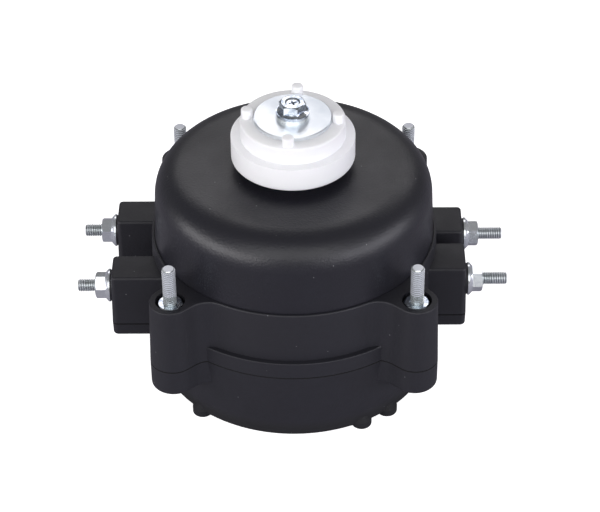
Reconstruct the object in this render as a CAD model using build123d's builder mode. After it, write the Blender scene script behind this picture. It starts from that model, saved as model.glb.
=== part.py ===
from build123d import *
from math import cos, radians, sqrt, tan
import os

# A small fan motor with its bearing at the front, for refrigeration and ventilation.
# Millimetres. The origin is the middle of the base, and +Z runs up the shaft.
os.makedirs("parts", exist_ok=True)

# Clearances
seat_gap = 0.03        # round pieces pressed or slipped into their seats
turn_gap = 0.04        # shaft in its bearing, on the radius
cover_gap = 0.15       # between the moulded shells, all round
inside_gap = 0.3       # between loose inner pieces

# Standard M4 and M3 fasteners
m4_r = 2.0
m4_core_r = 1.8        # mean of the thread, where a nut or the case holds it
m4_hole_r = 2.25
m4_hex = 7.0           # across the flats of screw heads and nuts
m4_nut_height = 3.2
m4_head_height = 2.8
m4_cheese_r = 3.5
m4_cheese_height = 2.6
m3_r = 1.5
m3_hole_r = 1.65
m3_head_r = 2.75
m3_head_height = 2.0
hex_chamfer = 0.35
thread_chamfer = 0.5
washer_chamfer = 0.2

# Four face studs on a 4 inch circle, through the corner lugs
stud_pitch = 71.84
stud_length = 40.0
lug_count = 4
lug_turn = 45.0
lug_r = 6.8
lug_stand = 6.95       # from the drum's wall out to the stud
lug_draft = 4.3        # degrees, each flank of the lug's neck
lug_blend = 6.5        # hollow round between neck and drum
lug_drop = 9.15        # lug's foot below the split line
lug_sink = 2.95        # recess for the stud's head
lug_pocket_r = 4.4
lug_pocket_depth = 3.8
lug_foot_round = 1.2

# Base cover
seam_z = 25.9          # split line between base cover and middle housing
seam_gap = 0.12        # the seal holds the two halves this far apart
foot_inset = 0.75      # foot of the tub inside the drum's wall
base_edge_round = 3.2
base_floor = 2.8
base_wall = 2.9
foot_r = 3.1
foot_inward = 1.2      # from the tub's foot in to the round feet
foot_height = 2.4
foot_cone = 2.2        # each foot's top slopes back into the tub
foot_slope = 45.0
foot_round = 0.6
foot_angles = (47.8, 132.2, 227.8, 298.9, 312.2)

# Middle housing
housing_height = 21.8
case_draft = 1.7       # degrees, drum and lugs above the split line
drum_wall = 3.4        # at the split line, like the drum's radius
ledge = 1.55           # ledge ring at the split line, out from the drum
flange_height = 5.3
flange_round = 0.3
rim_round = 0.45
rim_wall = 0.85
shelf_drop = 7.2       # inner shelf that carries the stator, below the rim
shelf_height = 2.5
shelf_width = 3.5
lip_depth = 1.5

# Front shell
crown_height = 10.0    # top of the shell above the stator core
shell_taper = 1.2
shell_round = 9.7
shell_wall = 2.4
spigot_wall = 1.5
spigot_step = 1.1
collar_wall = 2.4
collar_height = 8.1

# Side blocks, two on each side, and the M4 screws through them
side_rise = 9.95       # screws above the split line
side_screw_length = 25.0
block_rise = 17.1
block_drop = 4.6
block_gap = 0.35       # the two halves of a block stand clear of each other
block_draft = 1.5
block_corner = 1.6
block_round = 0.8
left_stand = 11.35     # blocks' faces out from the drum
left_screw_y = 13.7
left_inner = 5.9       # from the screw to the block's two flanks
left_outer = 6.3
left_tip = 9.8         # thread beyond the pad
left_nut_turns = (17.0, 30.0)
right_stand = 8.35
right_screw_y = 11.2
right_inner = 9.0
right_outer = 5.1
right_tip = 11.9
right_nut_turns = (2.0, 12.0)
pad_r = 4.7
pad_rise = 0.3
pad_root = 0.8         # pad's foot inside the block's drafted face
head_pocket_r = 4.3
flange_nut_r = 5.0
flange_nut_height = 4.5
flange_nut_rim = 0.9
flange_nut_slope = 0.7
flange_nut_taper = 45.0

# Nuts sunk in the lugs, and how each one stands
lug_nut_turns = (8.0, 21.0, 40.0, 15.0)

# Seal in the split line
seal_inset = 2.1
seal_width = 1.5
seal_height = 1.4

# Lead inlet at the back of the base cover
inlet_drop = 7.4
inlet_stand = 0.6
inlet_boss_r = 7.2
inlet_hole_r = 4.6
grommet_bore_r = 3.0
grommet_flange_r = 6.4
grommet_flange = 1.6
grommet_length = 7.0

# Shaft and bearing
shaft_r = 4.0
shaft_chamfer = 0.5
bearing_lift = 1.5     # bearing's foot above the shelf
bearing_wall = 2.0
bearing_foot = 4.0
wick_wall = 2.0
cap_height = 4.0
housing_wall = 1.0
housing_shoulder = 2.5
nose_height = 1.9      # bearing nose above the front shell
oil_room = 3.0         # between the sleeve and the shaft seal
seal_ring_height = 2.5
seal_ring_sink = 0.9
seal_lip_gap = 0.15
thrust_height = 0.8
thrust_r = 7.0
end_play = 0.05
slinger_r = 8.0
slinger_height = 0.7

# Rotor
magnet_count = 8
magnet_wall = 3.0
magnet_spacing = 0.8
rotor_iron_wall = 2.5
rotor_room = 3.03      # between the bearing's flange and the rotor iron
rotor_overhang = 1.0
rotor_web = 4.0
rotor_boss_r = 7.5
rotor_boss_drop = 4.0
rotor_hole_r = 2.2
rotor_hole_count = 6

# Stator
air_gap = 0.6
stack_height = 18.0
tooth_count = 6
core_room = 5.75       # between the core and the front shell's spigot
yoke_wall = 4.5
tooth_width = 8.0
tooth_cover = 9.0      # insulated tooth, over the end plates
shoe_wall = 2.2
slot_opening = 3.0
ear_count = 3
ear_turn = 30.0
ear_r = 3.2
ear_sink = 0.2         # ear's screw inside the core's edge
end_plate = 1.0
end_wall = 1.2
end_wall_rise = 5.5
coil_side = 3.0
coil_end = 2.8
coil_back = 1.4        # between a coil and the core's yoke
coil_round = 2.4
screw_bite = 5.5       # stator screw's thread in the front shell

# Control board and what stands on it
board_thickness = 1.6
board_gap = 2.4
board_post_r = 3.2
board_post_inset = 4.0
board_post_height = 9.2
board_screw_length = 8.0
capacitor_r = 6.25
capacitor_height = 16.0
capacitor_place = (-21.0, 9.0)
choke_r = 8.0
choke_bore_r = 3.4
choke_height = 8.0
choke_place = (20.0, 8.0)
rectifier_size = (8.5, 6.5, 3.0)
rectifier_place = (14.0, 24.0)
chip_size = (10.0, 10.0, 1.8)
chip_place = (0.0, -2.0)
transistor_size = (6.5, 6.2, 2.3)
transistor_pitch = (10.0, 9.0)
transistor_place = (0.0, -20.0)
fuse_r = 4.2
fuse_height = 5.0
fuse_place = (-13.0, 24.5)
varistor_size = (10.0, 4.0, 11.0)
varistor_place = (21.0, -8.0)
terminal_size = (11.0, 6.0, 7.5)
terminal_place = (0.0, 25.0)
pin_r = 0.45
pin_hole_r = 0.6
pin_tail = 0.8
pin_count = 3
pin_turn = 210.0
can_round = 1.0
block_part_chamfer = 0.3

# Fan hub
hub_lift = 3.0         # hub above the front shell
hub_r = 18.4
hub_flange_height = 7.6
hub_edge_round = 1.4
hub_foot_round = 0.8
hub_step = 2.8         # from the flange's edge in to the pilot ring
hub_ring_height = 13.0
hub_ring_round = 0.6
hub_roof = 2.4
hub_cap = 1.2          # hub over the shaft's end
hub_boss_wall = 4.0
hub_skirt = 2.6
rib_count = 8
rib_wall = 1.6
peg_r = 1.75
peg_inset = 2.1
peg_height = 2.9
peg_round = 0.5
peg_count = 4
hub_turn = -5.5        # degrees, how the hub stands at rest
washer_play = 0.25     # clamp washer between the pegs
clamp_washer_height = 1.1
lock_washer_r = 4.8
lock_washer_height = 1.0
lock_washer_slit = 0.8
hub_screw_length = 20.0
hub_screw_flange_r = 4.95
hub_screw_flange_height = 0.8
hub_screw_head = 3.1
hub_screw_turn = 20.0
tap_room = 1.3         # tapped hole beyond the screw's end
recess_width = 1.2
recess_length = 4.4
recess_depth = 1.4

# Heights and radii of the case, worked out from the sizes above
stud_circle_r = stud_pitch / sqrt(2)
drum_r = stud_circle_r - lug_stand
drum_cavity_r = drum_r - drum_wall
flange_r = drum_r + ledge
base_r = drum_r - foot_inset
base_cavity_r = base_r - base_wall
foot_reach = base_r - foot_inward
lug_tangent = lug_r / cos(radians(lug_draft))
lug_neck = lug_stand + lug_r
lug_root = lug_tangent + lug_neck * tan(radians(lug_draft))
lug_bottom_z = seam_z - lug_drop
lug_seat_z = lug_bottom_z + lug_sink
cover_top_z = seam_z - seam_gap
rim_z = seam_z + housing_height
rim_r = drum_r - housing_height * tan(radians(case_draft))
lug_nut_top_z = rim_z - lug_pocket_depth + m4_nut_height
lip_z = rim_z - lip_depth
shelf_z = rim_z - shelf_drop
shelf_top_z = shelf_z + shelf_height
shelf_r = drum_cavity_r - shelf_width
core_top_z = shelf_top_z + stack_height
shell_foot_r = rim_r - rim_wall
shell_top_r = shell_foot_r - shell_taper
shell_top_z = core_top_z + crown_height
ceiling_z = shell_top_z - shell_wall
spigot_r = shell_foot_r - spigot_step
spigot_bore_r = spigot_r + cover_gap
lip_bore_r = shell_foot_r + cover_gap
collar_z = ceiling_z - collar_height
seal_r = drum_cavity_r + seal_inset
inlet_z = seam_z - inlet_drop
inlet_y = flange_r + inlet_stand

# Side blocks and their screws, worked out
side_z = seam_z + side_rise
block_top_z = seam_z + block_rise
block_bottom_z = seam_z - block_drop
left_face_x = drum_r + left_stand
left_pad_x = left_face_x + pad_rise
left_far_y = left_screw_y + left_outer
right_face_x = drum_r + right_stand
right_pad_x = right_face_x + pad_rise
block_root_x = sqrt(drum_cavity_r ** 2 - left_far_y ** 2) + drum_wall / 2
sides = (
    (-1, left_face_x, left_screw_y - left_inner, left_far_y, left_screw_y, left_pad_x,
     left_pad_x + left_tip, left_nut_turns),
    (1, right_face_x, right_screw_y - right_inner, right_screw_y + right_outer, right_screw_y, right_pad_x,
     right_pad_x + right_tip, right_nut_turns),
)

# Bearing, rotor and stator, worked out
nose_z = shell_top_z + nose_height
seal_ring_z = nose_z - seal_ring_sink - seal_ring_height
bearing_z = shelf_top_z + bearing_lift
sleeve_top_z = seal_ring_z - oil_room
wick_z = bearing_z + bearing_foot
wick_top_z = sleeve_top_z - cap_height
sleeve_r = shaft_r + turn_gap + bearing_wall
reservoir_r = sleeve_r + wick_wall
housing_r = reservoir_r + housing_wall
collar_bore_r = housing_r + seat_gap
collar_r = collar_bore_r + collar_wall
rotor_bore_r = collar_r + rotor_room
rotor_iron_r = rotor_bore_r + rotor_iron_wall
rotor_r = rotor_iron_r + magnet_wall
rotor_hole_reach = (rotor_boss_r + rotor_bore_r) / 2
rotor_boss_z = bearing_z - thrust_height - 2 * end_play
web_z = shelf_top_z - rotor_overhang - rotor_web
shaft_bottom_z = web_z - rotor_boss_drop
rotor_top_z = core_top_z + rotor_overhang
bore_r = rotor_r + air_gap
shoe_r = bore_r + shoe_wall
core_r = spigot_r - spigot_wall - core_room
yoke_r = core_r - yoke_wall
ear_reach = core_r - ear_sink
coil_r = yoke_r - coil_back
coil_height = stack_height + 2 * (end_plate + inside_gap)
pin_reach = yoke_r + 1.5 * end_wall
stator_screw_length = shelf_height + stack_height + screw_bite

# Board and hub, worked out
board_z = base_floor + board_post_height
board_top_z = board_z + board_thickness
board_r = base_cavity_r - board_gap
board_post_reach = board_r - board_post_inset
hub_z = shell_top_z + hub_lift
hub_ring_r = hub_r - hub_step
hub_boss_r = shaft_r + hub_boss_wall
ring_top_z = hub_z + hub_ring_height
shaft_top_z = ring_top_z - hub_cap
peg_reach = hub_ring_r - peg_inset
clamp_washer_r = peg_reach - peg_r - washer_play
clamp_top_z = ring_top_z + clamp_washer_height
head_z = clamp_top_z + lock_washer_height
tapped_depth = shaft_top_z - head_z + hub_screw_length + tap_room


def finish(piece, name):
    """Name a finished piece and write it out."""
    piece.part.label = name
    export_step(piece.part, f"parts/{name}.step")


def is_lug_root(vertex):
    """True for the outline's corners where a lug's neck meets the drum."""
    on_drum = abs(Vector(vertex.X, vertex.Y).length - drum_r) < seat_gap
    return on_drum and abs(vertex.X) > lug_r and abs(vertex.Y) > lug_r


def draw_case(plan):
    """Draw the drum and its four lugs in an open sketch."""
    Circle(drum_r)
    with PolarLocations(stud_circle_r, lug_count, start_angle=lug_turn):
        Circle(lug_r)
        draw_profile((0, lug_tangent), (-lug_neck, lug_root), (-lug_neck, -lug_root), (0, -lug_tangent))
    fillet(plan.vertices().filter_by(is_lug_root), lug_blend)


def draw_blocks():
    """Draw the four side blocks in an open sketch."""
    for side, face_x, near_y, far_y, *rest in sides:
        for end in (-1, 1):
            with Locations((side * (block_root_x + face_x) / 2, end * (near_y + far_y) / 2)):
                RectangleRounded(face_x - block_root_x, far_y - near_y, block_corner)


def draw_circles(reach, count, radius, turn=lug_turn):
    """Draw equal circles round the shaft's axis in an open sketch."""
    with PolarLocations(reach, count, start_angle=turn):
        Circle(radius)


def draw_holes(reach, count, radius, turn=lug_turn):
    """Cut equal holes round the shaft's axis in an open sketch."""
    with PolarLocations(reach, count, start_angle=turn):
        Circle(radius, mode=Mode.SUBTRACT)


def draw_teeth(width):
    """Draw the stator's teeth and pole shoes in an open sketch that holds its outer ring."""
    Circle(yoke_r, mode=Mode.SUBTRACT)
    with PolarLocations((bore_r + yoke_r) / 2, tooth_count):
        Rectangle(yoke_r - bore_r + end_wall, width)
    Circle(shoe_r)
    Circle(bore_r, mode=Mode.SUBTRACT)
    with PolarLocations((bore_r + shoe_r) / 2, tooth_count, start_angle=180 / tooth_count):
        Rectangle(shoe_wall * 2, slot_opening, mode=Mode.SUBTRACT)


def draw_profile(*points):
    """Draw a turned piece's half section, as radius and height, in an open sketch."""
    return Polygon(*points, align=None)


def draw_hub_hollow(inner_r, flange_bore_r, ring_bore_r):
    """Draw the half section of the hub's stepped hollow in an open sketch."""
    step_z = hub_z + hub_flange_height - hub_roof
    top_z = ring_top_z - hub_roof
    draw_profile((inner_r, hub_z), (flange_bore_r, hub_z), (flange_bore_r, step_z),
                 (ring_bore_r, step_z), (ring_bore_r, top_z), (inner_r, top_z))


# Base cover: a tapered tub with the lower halves of the lugs and blocks
with BuildPart() as base_cover:
    with BuildSketch():
        for angle in foot_angles:
            draw_circles(foot_reach, 1, foot_r, angle)
    extrude(amount=foot_height)
    fillet(base_cover.edges().group_by(Axis.Z)[0], foot_round)
    for angle in foot_angles:
        with BuildSketch(Plane.XY.offset(foot_height)):
            draw_circles(foot_reach, 1, foot_r, angle)
        extrude(amount=foot_cone, taper=foot_slope)
    with BuildSketch(Plane.XY.offset(seam_z - block_gap)):
        draw_blocks()
    extrude(amount=block_bottom_z - seam_z + block_gap, taper=block_draft)
    block_ends = base_cover.faces().filter_by(lambda face: abs(face.center().Z - block_bottom_z) < seat_gap)
    fillet(block_ends.edges(), block_round)
    with BuildSketch(Plane.XY.offset(cover_top_z)) as lug_plan:
        draw_case(lug_plan)
    extrude(amount=lug_bottom_z - cover_top_z)
    lug_ends = base_cover.faces().filter_by(Axis.Z).sort_by(SortBy.AREA)[-2:].sort_by(Axis.Z)[0]
    fillet(lug_ends.outer_wire().edges(), lug_foot_round)
    with BuildSketch(Plane.XZ) as tub:
        draw_profile((0, cover_top_z), (0, 0), (base_r, 0), (flange_r, cover_top_z))
        fillet(tub.vertices().group_by(Axis.Y)[0].sort_by(Axis.X)[-1], base_edge_round)
    revolve(axis=Axis.Z)
    with BuildSketch(Plane.XZ.offset(-inlet_y)):
        with Locations((0, inlet_z)):
            Circle(inlet_boss_r)
    extrude(amount=inlet_y - drum_cavity_r)
    with BuildSketch(Plane.XZ):
        draw_profile((0, cover_top_z), (0, base_floor), (base_cavity_r, base_floor),
                     (drum_cavity_r, cover_top_z))
    revolve(axis=Axis.Z, mode=Mode.SUBTRACT)
    with BuildSketch(Plane.XY.offset(base_floor)):
        draw_circles(board_post_reach, lug_count, board_post_r)
    extrude(amount=board_z - base_floor)
    with BuildSketch(Plane.XY.offset(board_z)):
        draw_circles(board_post_reach, lug_count, m3_hole_r)
    extrude(amount=board_thickness - board_screw_length - inside_gap, mode=Mode.SUBTRACT)
    with BuildSketch(Plane.XZ.offset(-inlet_y)):
        with Locations((0, inlet_z)):
            Circle(inlet_hole_r)
    extrude(amount=inlet_y - board_post_reach, mode=Mode.SUBTRACT)
    with BuildSketch(Plane.XY.offset(cover_top_z)):
        Circle(seal_r + seal_width + seat_gap)
        Circle(seal_r - seat_gap, mode=Mode.SUBTRACT)
    extrude(amount=-seal_height, mode=Mode.SUBTRACT)
    with BuildSketch(Plane.XY.offset(lug_bottom_z)):
        draw_circles(stud_circle_r, lug_count, m4_hole_r)
    extrude(amount=seam_z - lug_bottom_z, mode=Mode.SUBTRACT)
    with BuildSketch(Plane.XY.offset(lug_bottom_z)):
        draw_circles(stud_circle_r, lug_count, m4_cheese_r + inside_gap)
    extrude(amount=lug_seat_z - lug_bottom_z, mode=Mode.SUBTRACT)
finish(base_cover, "base_cover")

# Middle housing: an open drum with the ledge ring, the lugs and the side blocks
with BuildPart() as middle_housing:
    with BuildSketch(Plane.XY.offset(seam_z)):
        draw_blocks()
    extrude(amount=block_top_z - seam_z, taper=block_draft)
    fillet(middle_housing.faces().group_by(Axis.Z)[-1].edges(), block_round)
    for side, face_x, near_y, far_y, screw_y, pad_x, tip_x, turns in sides:
        with BuildSketch(Plane.YZ.offset(side * pad_x)):
            with Locations((screw_y, side_z), (-screw_y, side_z)):
                Circle(pad_r)
        extrude(amount=-side * (pad_rise + pad_root))
    with BuildSketch(Plane.XY.offset(seam_z)) as drum_plan:
        draw_case(drum_plan)
    extrude(amount=rim_z - seam_z, taper=case_draft)
    fillet(middle_housing.faces().sort_by(Axis.Z)[-1].outer_wire().edges(), rim_round)
    with BuildSketch(Plane.XZ) as ledge:
        draw_profile((shelf_r, seam_z), (flange_r, seam_z), (flange_r, seam_z + flange_height),
                     (shelf_r, seam_z + flange_height))
        fillet(ledge.vertices().group_by(Axis.X)[-1].sort_by(Axis.Y)[-1], flange_round)
    revolve(axis=Axis.Z)
    with BuildSketch(Plane.XZ):
        draw_profile((0, seam_z), (drum_cavity_r, seam_z), (drum_cavity_r, shelf_z), (shelf_r, shelf_z),
                     (shelf_r, shelf_top_z), (spigot_bore_r, shelf_top_z), (spigot_bore_r, lip_z),
                     (lip_bore_r, lip_z), (lip_bore_r, rim_z), (0, rim_z))
    revolve(axis=Axis.Z, mode=Mode.SUBTRACT)
    with BuildSketch(Plane.XY.offset(shelf_z)):
        draw_circles(ear_reach, ear_count, ear_r, ear_turn)
        with PolarLocations((ear_reach + drum_cavity_r) / 2, ear_count, start_angle=ear_turn):
            Rectangle(drum_cavity_r - ear_reach, 2 * ear_r)
    extrude(amount=shelf_height)
    with BuildSketch(Plane.XY.offset(shelf_z)):
        draw_circles(ear_reach, ear_count, m3_hole_r, ear_turn)
    extrude(amount=shelf_height, mode=Mode.SUBTRACT)
    with Locations(Plane.XY.offset(rim_z)):
        with GridLocations(stud_pitch, stud_pitch, 2, 2):
            CounterBoreHole(m4_hole_r, lug_pocket_r, lug_pocket_depth, rim_z - seam_z)
    for side, face_x, near_y, far_y, screw_y, pad_x, tip_x, turns in sides:
        with BuildSketch(Plane.YZ.offset(side * pad_x)):
            with Locations((screw_y, side_z), (-screw_y, side_z)):
                Circle(m4_hole_r)
        extrude(amount=-side * (pad_x - shelf_r), mode=Mode.SUBTRACT)
        with BuildSketch(Plane.YZ.offset(side * (tip_x - side_screw_length))):
            with Locations((screw_y, side_z), (-screw_y, side_z)):
                Circle(head_pocket_r)
        extrude(amount=-side * (tip_x - side_screw_length - shelf_r), mode=Mode.SUBTRACT)
finish(middle_housing, "middle_housing")

# Front shell: a drafted dome with a rounded shoulder, a spigot and a bearing collar
with BuildPart() as front_shell:
    with BuildSketch(Plane.XZ) as dome:
        draw_profile((0, lip_z), (shell_foot_r, lip_z), (shell_foot_r, rim_z),
                     (shell_top_r, shell_top_z), (0, shell_top_z))
        fillet(dome.vertices().group_by(Axis.Y)[-1].sort_by(Axis.X)[-1], shell_round)
    revolve(axis=Axis.Z)
    with BuildSketch(Plane.XY.offset(lip_z)):
        Circle(spigot_r)
    extrude(amount=shelf_top_z + inside_gap - lip_z)
    with BuildSketch(Plane.XZ) as hollow:
        draw_profile((0, shelf_z), (spigot_r - spigot_wall, shelf_z), (spigot_r - spigot_wall, rim_z),
                     (shell_top_r - shell_wall, ceiling_z), (0, ceiling_z))
        fillet(hollow.vertices().group_by(Axis.Y)[-1].sort_by(Axis.X)[-1], shell_round - shell_wall)
    revolve(axis=Axis.Z, mode=Mode.SUBTRACT)
    with BuildSketch(Plane.XY.offset(collar_z)):
        Circle(collar_r)
    extrude(amount=ceiling_z - collar_z)
    with BuildSketch(Plane.XY.offset(core_top_z)):
        draw_circles(ear_reach, ear_count, ear_r, ear_turn)
    extrude(amount=ceiling_z - core_top_z)
    with BuildSketch(Plane.XY.offset(core_top_z)):
        draw_circles(ear_reach, ear_count, m3_r + seat_gap, ear_turn)
    extrude(amount=shelf_z + stator_screw_length + inside_gap - core_top_z, mode=Mode.SUBTRACT)
    with BuildSketch(Plane.XY.offset(collar_z)):
        Circle(collar_bore_r)
    extrude(amount=shell_top_z - collar_z, mode=Mode.SUBTRACT)
finish(front_shell, "front_shell")

# Face studs: M4 cheese-head screws that hold the case and stand out of the lugs
with BuildPart() as face_studs:
    with BuildSketch(Plane.XY.offset(lug_seat_z)):
        draw_circles(stud_circle_r, lug_count, m4_core_r)
    extrude(amount=stud_length)
    with BuildSketch(Plane.XY.offset(lug_nut_top_z)):
        draw_circles(stud_circle_r, lug_count, m4_r)
    extrude(amount=lug_seat_z + stud_length - lug_nut_top_z)
    chamfer(face_studs.edges().group_by(Axis.Z)[-1], thread_chamfer)
    with BuildSketch(Plane.XY.offset(lug_seat_z)):
        draw_circles(stud_circle_r, lug_count, m4_cheese_r)
    extrude(amount=-m4_cheese_height)
    with BuildSketch(Plane.XY.offset(lug_seat_z - m4_cheese_height)):
        with PolarLocations(stud_circle_r, lug_count, start_angle=lug_turn):
            Rectangle(2 * m4_cheese_r, recess_width)
    extrude(amount=m4_cheese_height / 2, mode=Mode.SUBTRACT)
finish(face_studs, "face_studs")

# Lug nuts: M4 hexagon nuts sunk in the lugs' pockets
with BuildPart() as lug_nuts:
    with BuildSketch(Plane.XY.offset(rim_z - lug_pocket_depth)):
        for number, nut_turn in enumerate(lug_nut_turns):
            with PolarLocations(stud_circle_r, 1, start_angle=lug_turn + number * 360 / lug_count):
                RegularPolygon(m4_hex / 2, 6, major_radius=False, rotation=nut_turn)
                Circle(m4_core_r + seat_gap, mode=Mode.SUBTRACT)
    extrude(amount=m4_nut_height)
    nut_corners = lug_nuts.edges().filter_by(GeomType.LINE)
    chamfer(nut_corners.group_by(Axis.Z)[-1] + nut_corners.group_by(Axis.Z)[0], hex_chamfer)
finish(lug_nuts, "lug_nuts")

# Side screws: M4 hexagon screws put in from inside, one through each side block
with BuildPart() as side_screws:
    for side, face_x, near_y, far_y, screw_y, pad_x, tip_x, turns in sides:
        with BuildSketch(Plane.YZ.offset(side * (tip_x - side_screw_length))):
            with Locations((screw_y, side_z), (-screw_y, side_z)):
                Circle(m4_core_r)
        extrude(amount=side * side_screw_length)
        with BuildSketch(Plane.YZ.offset(side * (pad_x + flange_nut_height))):
            with Locations((screw_y, side_z), (-screw_y, side_z)):
                Circle(m4_r)
        extrude(amount=side * (tip_x - pad_x - flange_nut_height))
        chamfer(side_screws.edges().group_by(Axis.X)[-1 if side > 0 else 0], thread_chamfer)
        with BuildSketch(Plane.YZ.offset(side * (tip_x - side_screw_length))):
            with Locations((screw_y, side_z), (-screw_y, side_z)):
                RegularPolygon(m4_hex / 2, 6, major_radius=False)
        extrude(amount=-side * m4_head_height)
finish(side_screws, "side_screws")

# Side nuts: M4 flange nuts that bear on the blocks' pads
with BuildPart() as side_nuts:
    for side, face_x, near_y, far_y, screw_y, pad_x, tip_x, turns in sides:
        for end, nut_turn in zip((-1, 1), turns):
            with BuildSketch(Plane.YZ.offset(side * pad_x)):
                with Locations((end * screw_y, side_z)):
                    Circle(flange_nut_r)
            extrude(amount=side * flange_nut_rim)
            with BuildSketch(Plane.YZ.offset(side * (pad_x + flange_nut_rim))):
                with Locations((end * screw_y, side_z)):
                    Circle(flange_nut_r - washer_chamfer)
            extrude(amount=side * flange_nut_slope, taper=flange_nut_taper)
            with BuildSketch(Plane.YZ.offset(side * pad_x)):
                with Locations((end * screw_y, side_z)):
                    RegularPolygon(m4_hex / 2, 6, major_radius=False, rotation=nut_turn)
            extrude(amount=side * flange_nut_height)
            chamfer(side_nuts.faces().sort_by(Axis.X)[-1 if side > 0 else 0].edges(), hex_chamfer)
        with BuildSketch(Plane.YZ.offset(side * pad_x)):
            with Locations((screw_y, side_z), (-screw_y, side_z)):
                Circle(m4_core_r + seat_gap)
        extrude(amount=side * flange_nut_height, mode=Mode.SUBTRACT)
finish(side_nuts, "side_nuts")

# Seam seal: a rubber ring in the base cover's groove
with BuildPart() as seam_seal:
    with BuildSketch(Plane.XY.offset(cover_top_z - seal_height)):
        Circle(seal_r + seal_width)
        Circle(seal_r, mode=Mode.SUBTRACT)
    extrude(amount=seal_height + seam_gap)
finish(seam_seal, "seam_seal")

# Lead grommet: a flanged rubber bush in the inlet's boss
with BuildPart() as lead_grommet:
    with BuildSketch(Plane.XZ.offset(-inlet_y)):
        with Locations((0, inlet_z)):
            Circle(grommet_flange_r)
    extrude(amount=-grommet_flange)
    fillet(lead_grommet.edges().group_by(Axis.Y)[-1], grommet_flange / 2)
    with BuildSketch(Plane.XZ.offset(-inlet_y)):
        with Locations((0, inlet_z)):
            Circle(inlet_hole_r - seat_gap)
    extrude(amount=grommet_length)
    with BuildSketch(Plane.XZ.offset(-inlet_y - grommet_flange)):
        with Locations((0, inlet_z)):
            Circle(grommet_bore_r)
    extrude(amount=grommet_flange + grommet_length, mode=Mode.SUBTRACT)
finish(lead_grommet, "lead_grommet")

# Bearing housing: a cast tube pressed into the front shell's collar, with the oil space
with BuildPart() as bearing_housing:
    with BuildSketch(Plane.XZ):
        draw_profile((sleeve_r + seat_gap, bearing_z), (housing_r, bearing_z),
                     (housing_r, collar_z - housing_shoulder), (collar_r, collar_z - housing_shoulder),
                     (collar_r, collar_z), (housing_r, collar_z), (housing_r, nose_z),
                     (reservoir_r, nose_z), (reservoir_r, wick_z), (sleeve_r + seat_gap, wick_z))
    revolve(axis=Axis.Z)
    chamfer(bearing_housing.edges().group_by(Axis.Z)[-1].sort_by(SortBy.RADIUS)[-1], washer_chamfer)
finish(bearing_housing, "bearing_housing")

# Bearing sleeve: sintered bronze
with BuildPart() as bearing_sleeve:
    with BuildSketch(Plane.XY.offset(bearing_z)):
        Circle(sleeve_r)
        Circle(shaft_r + turn_gap, mode=Mode.SUBTRACT)
    extrude(amount=sleeve_top_z - bearing_z)
finish(bearing_sleeve, "bearing_sleeve")

# Oil wick: felt round the sleeve
with BuildPart() as oil_wick:
    with BuildSketch(Plane.XY.offset(wick_z)):
        Circle(reservoir_r - seat_gap)
        Circle(sleeve_r + seat_gap, mode=Mode.SUBTRACT)
    extrude(amount=wick_top_z - wick_z)
finish(oil_wick, "oil_wick")

# Bearing cap: closes the oil space and centres the sleeve's top
with BuildPart() as bearing_cap:
    with BuildSketch(Plane.XY.offset(wick_top_z)):
        Circle(reservoir_r - seat_gap)
        Circle(sleeve_r + seat_gap, mode=Mode.SUBTRACT)
    extrude(amount=sleeve_top_z - wick_top_z)
finish(bearing_cap, "bearing_cap")

# Shaft seal: a rubber ring in the bearing's nose
with BuildPart() as shaft_seal:
    with BuildSketch(Plane.XZ):
        draw_profile((shaft_r + seal_lip_gap, seal_ring_z + seal_ring_height / 2),
                     (sleeve_r, sleeve_top_z), (reservoir_r - seat_gap, sleeve_top_z),
                     (reservoir_r - seat_gap, seal_ring_z + seal_ring_height),
                     (shaft_r + seal_lip_gap, seal_ring_z + seal_ring_height))
    revolve(axis=Axis.Z)
finish(shaft_seal, "shaft_seal")

# Stator core: a stack of toothed laminations with three screw ears
with BuildPart() as stator_core:
    with BuildSketch(Plane.XY.offset(shelf_top_z)):
        Circle(core_r)
        draw_circles(ear_reach, ear_count, ear_r, ear_turn)
        draw_teeth(tooth_width)
        draw_holes(ear_reach, ear_count, m3_hole_r, ear_turn)
    extrude(amount=stack_height)
finish(stator_core, "stator_core")

# End insulators: moulded plates on both faces of the core, with walls that hold the coils
for name, face_z, out in (("upper_insulator", core_top_z, 1), ("lower_insulator", shelf_top_z, -1)):
    with BuildPart() as insulator:
        with BuildSketch(Plane.XY.offset(face_z)):
            Circle(yoke_r + 2 * end_wall)
            draw_teeth(tooth_cover)
            draw_holes(ear_reach, ear_count, ear_r + inside_gap, ear_turn)
        extrude(amount=out * end_plate)
        with BuildSketch(Plane.XY.offset(face_z + out * end_plate)):
            Circle(yoke_r + 2 * end_wall)
            Circle(yoke_r + end_wall, mode=Mode.SUBTRACT)
            Circle(shoe_r - inside_gap)
            Circle(shoe_r - inside_gap - end_wall, mode=Mode.SUBTRACT)
            with PolarLocations(shoe_r, tooth_count, start_angle=180 / tooth_count):
                Rectangle(2 * shoe_wall, tooth_cover, mode=Mode.SUBTRACT)
            draw_holes(ear_reach, ear_count, ear_r + inside_gap, ear_turn)
        extrude(amount=out * end_wall_rise)
    finish(insulator, name)

# Stator coils: one wound copper coil on each tooth
with BuildPart() as stator_coils:
    for number in range(tooth_count):
        across_tooth = Plane.XZ.rotated((0, 0, number * 360 / tooth_count))
        with BuildSketch(across_tooth.offset(-coil_r)):
            with Locations((0, (shelf_top_z + core_top_z) / 2)):
                RectangleRounded(tooth_cover + 2 * coil_side, coil_height + 2 * coil_end, coil_round)
                Rectangle(tooth_cover + inside_gap, coil_height, mode=Mode.SUBTRACT)
        extrude(amount=coil_r - shoe_r - inside_gap)
finish(stator_coils, "stator_coils")

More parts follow.
